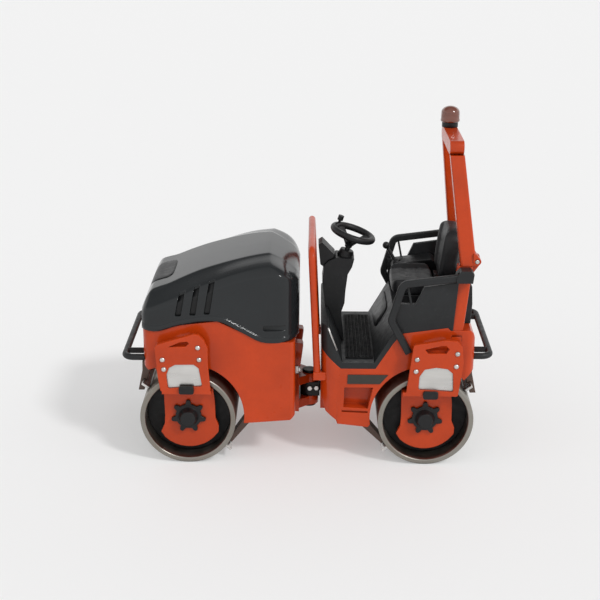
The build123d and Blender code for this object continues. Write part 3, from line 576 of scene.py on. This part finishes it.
def rounded_outline(points, radius):
    """Polygon with each corner replaced by a short three-point curve."""
    found = []
    for i, here in enumerate(points):
        before, after = Vector(points[i - 1]), Vector(points[(i + 1) % len(points)])
        corner = Vector(here)
        a = corner + (before - corner).normalized() * radius
        b = corner + (after - corner).normalized() * radius
        found += [tuple(a), tuple(corner * 0.5 + (a + b) * 0.25), tuple(b)]
    return found


def squared_circle(count, power):
    """Points of a unit circle pushed out towards the corners of its square."""
    points = []
    for k in range(count):
        a = 2 * math.pi * k / count
        c, n = math.cos(a), math.sin(a)
        points.append((math.copysign(abs(c) ** power, c), math.copysign(abs(n) ** power, n)))
    return points


def settle(obj):
    """Applies the modifiers of a new piece."""
    graph = bpy.context.evaluated_depsgraph_get()
    mesh = bpy.data.meshes.new_from_object(obj.evaluated_get(graph))
    obj.modifiers.clear()
    obj.data = mesh
    mesh.shade_smooth()


def build_inlay():
    """Rounded low plate on the nose, without lettering."""
    rings = []
    for grow, lift in ((0.0, -0.25), (0.0, 0.03), (-0.08, 0.09)):
        ring = []
        for u, v in squared_circle(64, 0.45):
            x = INLAY_X + (INLAY_HALF[0] + grow) * u
            y = (INLAY_HALF[1] + grow) * v
            ring.append((x, y, hood_top(x) + lift))
        rings.append(ring)
    inner = [(INLAY_X + (x - INLAY_X) * 0.97, y * 0.97, z + 0.02) for x, y, z in rings[-1]]
    rings.append(inner)
    for f in (0.8, 0.55, 0.3, 0.1):
        scaled = [(INLAY_X + (x - INLAY_X) * f, y * f) for x, y, z in inner]
        rings.append([(x, y, hood_top(x) + 0.11) for x, y in scaled])
    new_piece("nose_plate", *rings_to_mesh(rings), "black_trim", "front_frame", ["nose_inlay"])


# pads: (share of the thickness, inset) of each ring up the sides, then sizes of the rings across the face
PAD_SIDES = ((0.0, 0.35), (0.0, 0.12), (0.08, 0.02), (0.3, -0.02), (0.55, 0.0), (0.8, 0.03), (0.93, 0.1))
PAD_FACE = (0.94, 0.88, 0.8, 0.72, 0.64, 0.56, 0.48, 0.4, 0.3, 0.2, 0.1, 0.03)


def upholstery(name, node, origin, up, out, half_w, half_h, thick, wing, groove, corner):
    """Stuffed pad: crowned face, raised side wings, sewn grooves, sides pulled in between the corners."""
    across, up, out = Vector((0, 1, 0)), Vector(up).normalized(), Vector(out).normalized()
    rings = []
    for depth, inset in PAD_SIDES:
        ring = []
        for u, v in squared_circle(96, corner):
            pull = 1 - 0.025 * (1 - abs(u * v)) - inset * 0.35
            ring.append((u * pull, v * pull, depth))
        rings.append(ring)
    rim = rings[-1]
    for f in PAD_FACE:
        rings.append([(u * f, v * f, 1.0) for u, v, d in rim])
    shaped = []
    for ring in rings:
        row = []
        for u, v, d in ring:
            lift = d * thick
            if d >= 0.93:
                roll = max(0.0, 1 - abs(u) ** 4) * max(0.0, 1 - abs(v) ** 6)
                lift = thick * (0.86 + 0.10 * roll)
                lift += wing * math.exp(-((abs(u) - 0.82) / 0.15) ** 2) * (1 - 0.4 * v * v)
                lift -= 0.16 * math.exp(-((abs(u) - 0.60) / 0.04) ** 2)
                for g in groove:
                    lift -= 0.12 * math.exp(-((v - g) / 0.035) ** 2) * (1 if abs(u) < 0.6 else 0.0)
            p = origin + across * (u * half_w) + up * (v * half_h) + out * lift
            row.append(tuple(p))
        shaped.append(row)
    pad = new_piece(name, *rings_to_mesh(shaped), "seat_vinyl", "rear_frame", [node])
    smooth = pad.modifiers.new("smooth", "SUBSURF")
    smooth.levels = smooth.render_levels = 1


def node_box(node):
    """Lowest and highest corner of a CAD node in millimetres."""
    low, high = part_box(node)
    return Vector(low) / MM, Vector(high) / MM


def build_seat():
    low, high = node_box("seat_cushion")
    middle = Vector(((low.x + high.x) / 2, 0, low.z + 0.02))
    upholstery("cushion_pad", "seat_cushion", middle, (1, 0, 0), (0, 0, 1),
               high.y - 0.05, (high.x - low.x) / 2 - 0.05, high.z - low.z - 0.05, 0.55, (-0.25, 0.3), 0.5)
    lean = math.radians(7)
    out = Vector((-math.cos(lean), 0, math.sin(lean)))
    up = Vector((math.sin(lean), 0, math.cos(lean)))
    low, high = node_box("seat_backrest")
    half_h = (high.z - low.z) / 2 - 0.2
    middle = Vector((low.x + 2.3, 0, low.z + 0.25)) + up * half_h
    upholstery("backrest_pad", "seat_backrest", middle, up, out,
               high.y - 0.05, half_h, 2.1, 0.5, (-0.35, 0.2), 0.6)


def lathe(profile, centre, turns=64):
    """Rings of a turned shape from (radius, height) points."""
    angles = [2 * math.pi * k / turns for k in range(turns)]
    return [
        [(centre[0] + r * math.cos(a), centre[1] + r * math.sin(a), h) for a in angles]
        for r, h in profile
    ]


# beacon: radius, height of its straight wall, height of the crown above that, and the turned foot
BEACON_R = 1.33
BEACON_WALL = 1.3
BEACON_CROWN = 0.97
BEACON_FOOT = [(1.1, 0), (1.3, 0.02), (1.38, 0.12), (1.38, 0.35), (BEACON_R, 0.4), (BEACON_R, BEACON_WALL)]


def build_beacon():
    low, high = node_box("beacon_lens")
    z = low.z
    profile = [(r, z + h) for r, h in BEACON_FOOT]
    for k in range(1, 12):
        a = math.radians(7.9 * k)
        profile.append((BEACON_R * math.cos(a), z + BEACON_WALL + BEACON_CROWN * math.sin(a)))
    rings = lathe(profile, ((low.x + high.x) / 2, (low.y + high.y) / 2))
    new_piece("beacon_dome", *rings_to_mesh(rings), "amber_lens", "roll_hoop", ["beacon_lens"])


def build_highlight_strips():
    """Thin bright strip along the front edge of each footwell opening: a painted highlight standing for the
    gloss on its rounded edge.
    """
    edge = node_box("platform")[1].y - 0.08
    for side in (1, -1):
        y = edge * side
        path = [(2.95, 20.55), (3.3, 19.6), (4.25, 17.2)]
        rings = []
        outer = y + 0.14 * side
        for x, z in path:
            front, back = x - 0.1, x + 0.1
            rings.append([(front, y, z), (back, y, z + 0.04), (back, outer, z + 0.04), (front, outer, z)])
        name = "painted_highlight_right" if side > 0 else "painted_highlight_left"
        new_piece(name, *rings_to_mesh(rings), "bright_steel", "rear_frame")


# recess behind the footwell: middle and half width across, and its foot and head in x and z
RECESS_Y = 5.0
RECESS_HALF = 4.0
RECESS_FOOT = (10.15, 16.43)
RECESS_HEAD = (11.75, 19.3)


def build_recess():
    """Framed opening on the slope behind the footwell, filled with a black plate as painted shade, and its
    raised rim.
    """
    foot, head = (Vector((x, 0, z)) for x, z in (RECESS_FOOT, RECESS_HEAD))
    rise = (head - foot).normalized()
    out = Vector((-rise.z, 0, rise.x))
    middle, half = (foot + head) / 2, (head - foot).length / 2
    # the black face stands for the shade inside the opening: painted shade
    for name, look, low, high, grow in (
        ("recess_rim", "dark_trim", -0.1, 0.16, 0.28),
        ("recess_painted_shade", "black_trim", 0.0, 0.19, 0.0),
    ):
        rings = []
        for lift, inset in ((low, 0.0), (high - 0.05, 0.0), (high, 0.06)):
            ring = []
            for u, v in squared_circle(48, 0.35):
                wide = Vector((0, RECESS_Y + u * (RECESS_HALF + grow - inset), 0))
                high_up = rise * (v * (half + grow * 0.8 - inset))
                ring.append(tuple(middle + wide + high_up + out * lift))
            rings.append(ring)
        new_piece(name, *rings_to_mesh(rings), look, "rear_frame")


# support plate bolts: how far out their heads stand, and the (radius, height) profile of a rivet head
HEAD_Y = 12.5
RIVET = [(0.36, 0.0), (0.37, 0.05), (0.33, 0.13), (0.25, 0.21), (0.14, 0.26), (0.03, 0.28)]


def build_rivets(name, node, body):
    """Domed rivet heads in place of the flat bolt heads of one pair of support plates."""
    heads = {}
    for v in NODES[node].data.vertices:
        x, y, z = v.co / MM
        if abs(y) > HEAD_Y:
            key = next((k for k in heads if math.dist(k, (x, y, z)) < 1.0), (x, y, z))
            heads.setdefault(key, []).append((x, y, z))
    verts, faces = [], []
    for points in heads.values():
        cx = (min(p[0] for p in points) + max(p[0] for p in points)) / 2
        cz = (min(p[2] for p in points) + max(p[2] for p in points)) / 2
        side = 1 if points[0][1] > 0 else -1
        rings = [
            [(x, side * (HEAD_Y - 0.02 + h), z) for x, z, h in ring] for ring in lathe(RIVET, (cx, cz), 24)
        ]
        more, parts = rings_to_mesh(rings)
        first = len(verts)
        verts += more
        faces += [tuple(first + i for i in f) for f in parts]
    new_piece(name, verts, faces, "bright_steel", body, [node])


build_recess()
build_rivets("front_rivets", "front_plate_bolts", "front_frame")
build_rivets("rear_rivets", "rear_plate_bolts", "rear_frame")
build_hood()
build_inlay()
build_seat()
build_beacon()
# painted highlights along the footwell edges
build_highlight_strips()
